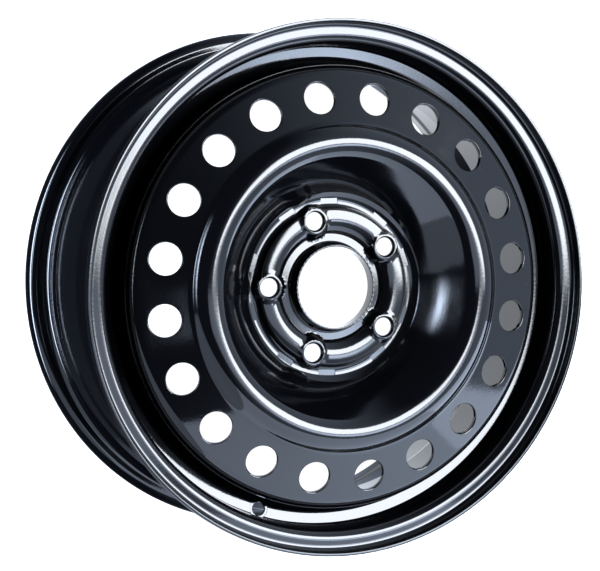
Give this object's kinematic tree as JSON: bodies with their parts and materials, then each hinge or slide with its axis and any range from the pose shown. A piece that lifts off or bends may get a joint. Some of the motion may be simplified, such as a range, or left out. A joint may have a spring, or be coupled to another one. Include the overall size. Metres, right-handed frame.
{
  "type": "steel wheel rim",
  "caption": "Pressed steel road wheel: a rolled drop-centre rim with a welded disc, a ring of round vents, a hub bore and a circle of conical lug seats, painted gloss black.",
  "frame": {"origin": "centre of the hub mounting face, on the wheel's axis", "axes": "+Z along the wheel's axis towards its outer face; -X through one lug hole; the wheel lies on its inner flange"},
  "size_m": [0.4402, 0.44, 0.199],
  "materials": {
    "rim_paint": "gloss black paint on rolled steel",
    "disc_paint": "gloss black paint on pressed steel, with a slight orange peel",
    "weld_paint": "black paint over a rippled weld bead"
  },
  "bodies": {
    "root": {"rim": "rim_paint", "disc": "disc_paint", "weld_bead_1": "weld_paint", "weld_bead_2": "weld_paint", "weld_bead_3": "weld_paint", "weld_bead_4": "weld_paint"}
  },
  "joints": []
}
